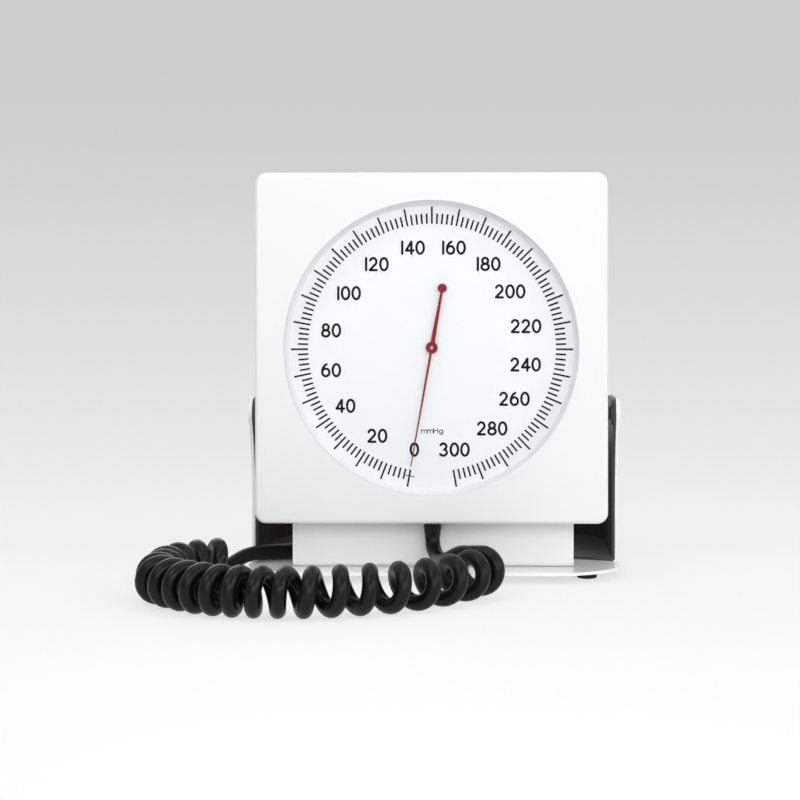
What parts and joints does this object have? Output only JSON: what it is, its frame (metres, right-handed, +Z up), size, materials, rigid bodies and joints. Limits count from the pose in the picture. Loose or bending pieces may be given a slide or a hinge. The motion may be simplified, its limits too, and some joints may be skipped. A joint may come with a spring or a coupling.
{
  "type": "desk aneroid sphygmomanometer",
  "caption": "Desk blood pressure gauge: a square dial case tilting on a sheet steel stand with a cuff tray behind it, fed by a curly rubber hose.",
  "frame": {"origin": "on the table, under the middle of the stand (its footprint without the hose)", "axes": "+X to the right as seen from the front, -Y the way the dial faces, +Z up"},
  "size_m": [0.234, 0.2835, 0.2065],
  "materials": {
    "stand_enamel": "satin",
    "foot_rubber": "matte",
    "screw_steel": "satin",
    "tray_plastic": "matte",
    "case_plastic": "satin",
    "cover_plastic": "satin",
    "dial_glass": "gloss",
    "dial_enamel": "matte",
    "plate_steel": "satin",
    "brass": "satin",
    "pivot_enamel": "satin",
    "capsule_bronze": "satin",
    "arbor_steel": "polished",
    "pointer_red": "satin",
    "tube_rubber": "matte",
    "black_plastic": "satin",
    "hose_rubber": "satin",
    "connector_plastic": "satin"
  },
  "bodies": {
    "stand": {"stand_bracket": "stand_enamel", "rubber_feet": "foot_rubber", "front_panel": "stand_enamel", "panel_screws": "screw_steel", "cuff_tray": "tray_plastic", "tray_screws": "screw_steel", "tray_nuts": "screw_steel", "hose_drop": "hose_rubber", "hose_coil": "hose_rubber", "hose_run": "hose_rubber", "tube_connector": "connector_plastic"},
    "gauge_case": {"front_shell": "case_plastic", "rear_cover": "cover_plastic", "cover_screws": "screw_steel", "dial_glass": "dial_glass", "dial_ring": "dial_enamel", "dial_plate": "dial_enamel", "gauge_plate": "plate_steel", "gauge_screws": "screw_steel", "pivot_inserts": "brass", "pivot_spacers": "black_plastic", "pivot_screws": "pivot_enamel", "movement_pillars": "brass", "movement_bridge": "brass", "movement_screws": "screw_steel", "capsule_posts": "plate_steel", "capsule_bridge": "plate_steel", "post_screws": "screw_steel", "capsule_front": "capsule_bronze", "capsule_rear": "capsule_bronze", "capsule_nut": "screw_steel", "hairspring": "capsule_bronze", "spring_stud": "brass", "pressure_elbow": "brass", "inner_tube": "tube_rubber", "hose_nipple": "black_plastic", "nipple_nut": "screw_steel"},
    "capsule_tip": {"capsule_tip": "arbor_steel"},
    "rocker": {"rocking_shaft": "arbor_steel"},
    "sector": {"sector_gear": "brass", "sector_arbor": "arbor_steel"},
    "pointer": {"pinion_arbor": "arbor_steel", "pointer": "pointer_red", "pointer_hub": "brass"}
  },
  "joints": [
    {"name": "case_tilt", "type": "hinge", "parent": "stand", "child": "gauge_case", "pos_m": [0, -0.04409, 0.0842], "axis": [-1, 0, 0], "range_deg": [0, 15], "deforming": ["hose_drop"]},
    {"name": "pointer_spin", "type": "hinge", "parent": "gauge_case", "child": "pointer", "pos_m": [0, -0.068, 0.1185], "axis": [0, 1, 0], "range_deg": [0, 340], "stiffness_Nm_per_rad": 0.00005, "deforming": ["hairspring"]},
    {"name": "sector_swing", "type": "hinge", "parent": "gauge_case", "child": "sector", "pos_m": [0.008, -0.068, 0.08648], "axis": [0, 1, 0], "range_deg": [-34, 0]},
    {"name": "rocker_turn", "type": "hinge", "parent": "gauge_case", "child": "rocker", "pos_m": [0.008, -0.0584, 0.1], "axis": [0, 0, 1], "range_deg": [0, 14.4]},
    {"name": "capsule_push", "type": "slide", "parent": "gauge_case", "child": "capsule_tip", "axis": [0, -1, 0], "range_m": [0, 0.002], "deforming": ["capsule_front"]}
  ],
  "couplings": [
    {"joint": "sector_swing", "follows": "pointer_spin", "ratio": -0.1},
    {"joint": "rocker_turn", "follows": "pointer_spin", "ratio": 0.0421},
    {"joint": "capsule_push", "follows": "pointer_spin", "m_per_rad": 0.000337}
  ]
}
